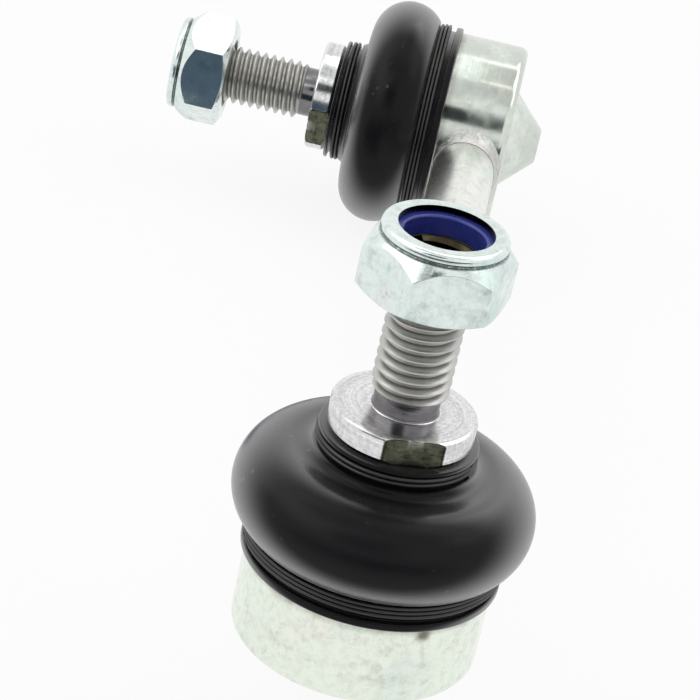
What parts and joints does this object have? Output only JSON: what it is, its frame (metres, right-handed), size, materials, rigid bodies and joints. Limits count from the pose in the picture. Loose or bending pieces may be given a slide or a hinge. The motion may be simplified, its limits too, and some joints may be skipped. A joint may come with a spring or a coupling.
{
  "type": "stabiliser bar link",
  "caption": "Anti-roll-bar link: a round rod with a sealed ball joint at each end, the threaded studs at a right angle to each other, each with a collar and a lock nut.",
  "frame": {"origin": "middle of the near stud's clamping face, the upper face of its collar", "axes": "+Z out along the near stud towards its threaded end, +X along the rod from the near joint to the far one, +Y the way the far stud points"},
  "size_m": [0.1958, 0.0732, 0.0732],
  "materials": {
    "zinc_rod": "bright zinc plating",
    "zinc_housing": "bright zinc plating",
    "zinc_cap": "bright zinc plating",
    "seat_plastic": "natural acetal",
    "stud_steel": "satin zinc plating",
    "boot_rubber": "satin moulded rubber",
    "ring_wire": "black coated spring wire",
    "zinc_nut": "bright zinc plating",
    "nylon": "dark blue nylon",
    "weld_metal": "plated weld bead"
  },
  "bodies": {
    "link": {"link_rod": "zinc_rod", "housing_a": "zinc_housing", "closing_cap_a": "zinc_cap", "ball_seat_a": "seat_plastic", "boot_base_ring_a": "ring_wire", "rod_weld_a": "weld_metal", "housing_b": "zinc_housing", "closing_cap_b": "zinc_cap", "ball_seat_b": "seat_plastic", "boot_base_ring_b": "ring_wire", "rod_weld_b": "weld_metal"},
    "boot_a": {"dust_boot_a": "boot_rubber"},
    "neck_a": {"boot_neck_ring_a": "ring_wire"},
    "stud_a": {"ball_stud_a": "stud_steel"},
    "insert_a": {"nut_insert_a": "nylon"},
    "nut_a": {"lock_nut_a": "zinc_nut"},
    "boot_b": {"dust_boot_b": "boot_rubber"},
    "neck_b": {"boot_neck_ring_b": "ring_wire"},
    "stud_b": {"ball_stud_b": "stud_steel"},
    "insert_b": {"nut_insert_b": "nylon"},
    "nut_b": {"lock_nut_b": "zinc_nut"}
  },
  "joints": [
    {"name": "swing_first_a", "type": "hinge", "parent": "link", "child": "boot_a", "pos_m": [0, 0, -0.0288], "axis": [0, 1, 0], "range_deg": [-18, 18], "deforming": ["dust_boot_a"]},
    {"name": "swing_second_a", "type": "hinge", "parent": "boot_a", "child": "neck_a", "pos_m": [0, 0, -0.0288], "axis": [1, 0, 0], "range_deg": [-18, 18], "deforming": ["dust_boot_a"]},
    {"name": "stud_turn_a", "type": "hinge", "parent": "neck_a", "child": "stud_a", "pos_m": [0, 0, -0.0288], "axis": [0, 0, 1], "continuous": true},
    {"name": "nut_climb_a", "type": "slide", "parent": "stud_a", "child": "insert_a", "axis": [0, 0, 1], "range_m": [-0.0105, 0.00375]},
    {"name": "nut_turn_a", "type": "hinge", "parent": "insert_a", "child": "nut_a", "pos_m": [0, 0, -0.0288], "axis": [0, 0, 1], "range_deg": [-2521, 901]},
    {"name": "swing_first_b", "type": "hinge", "parent": "link", "child": "boot_b", "pos_m": [0.157, 0, -0.0288], "axis": [0, 0, 1], "range_deg": [-18, 18], "deforming": ["dust_boot_b"]},
    {"name": "swing_second_b", "type": "hinge", "parent": "boot_b", "child": "neck_b", "pos_m": [0.157, 0, -0.0288], "axis": [1, 0, 0], "range_deg": [-18, 18], "deforming": ["dust_boot_b"]},
    {"name": "stud_turn_b", "type": "hinge", "parent": "neck_b", "child": "stud_b", "pos_m": [0.157, 0, -0.0288], "axis": [0, 1, 0], "continuous": true},
    {"name": "nut_climb_b", "type": "slide", "parent": "stud_b", "child": "insert_b", "axis": [0, 1, 0], "range_m": [-0.0105, 0.00375]},
    {"name": "nut_turn_b", "type": "hinge", "parent": "insert_b", "child": "nut_b", "pos_m": [0.157, 0, -0.0288], "axis": [0, 1, 0], "range_deg": [-2521, 901]}
  ],
  "couplings": [
    {"joint": "nut_turn_a", "follows": "nut_climb_a", "rad_per_m": 4188.8},
    {"joint": "nut_turn_b", "follows": "nut_climb_b", "rad_per_m": 4188.8}
  ]
}
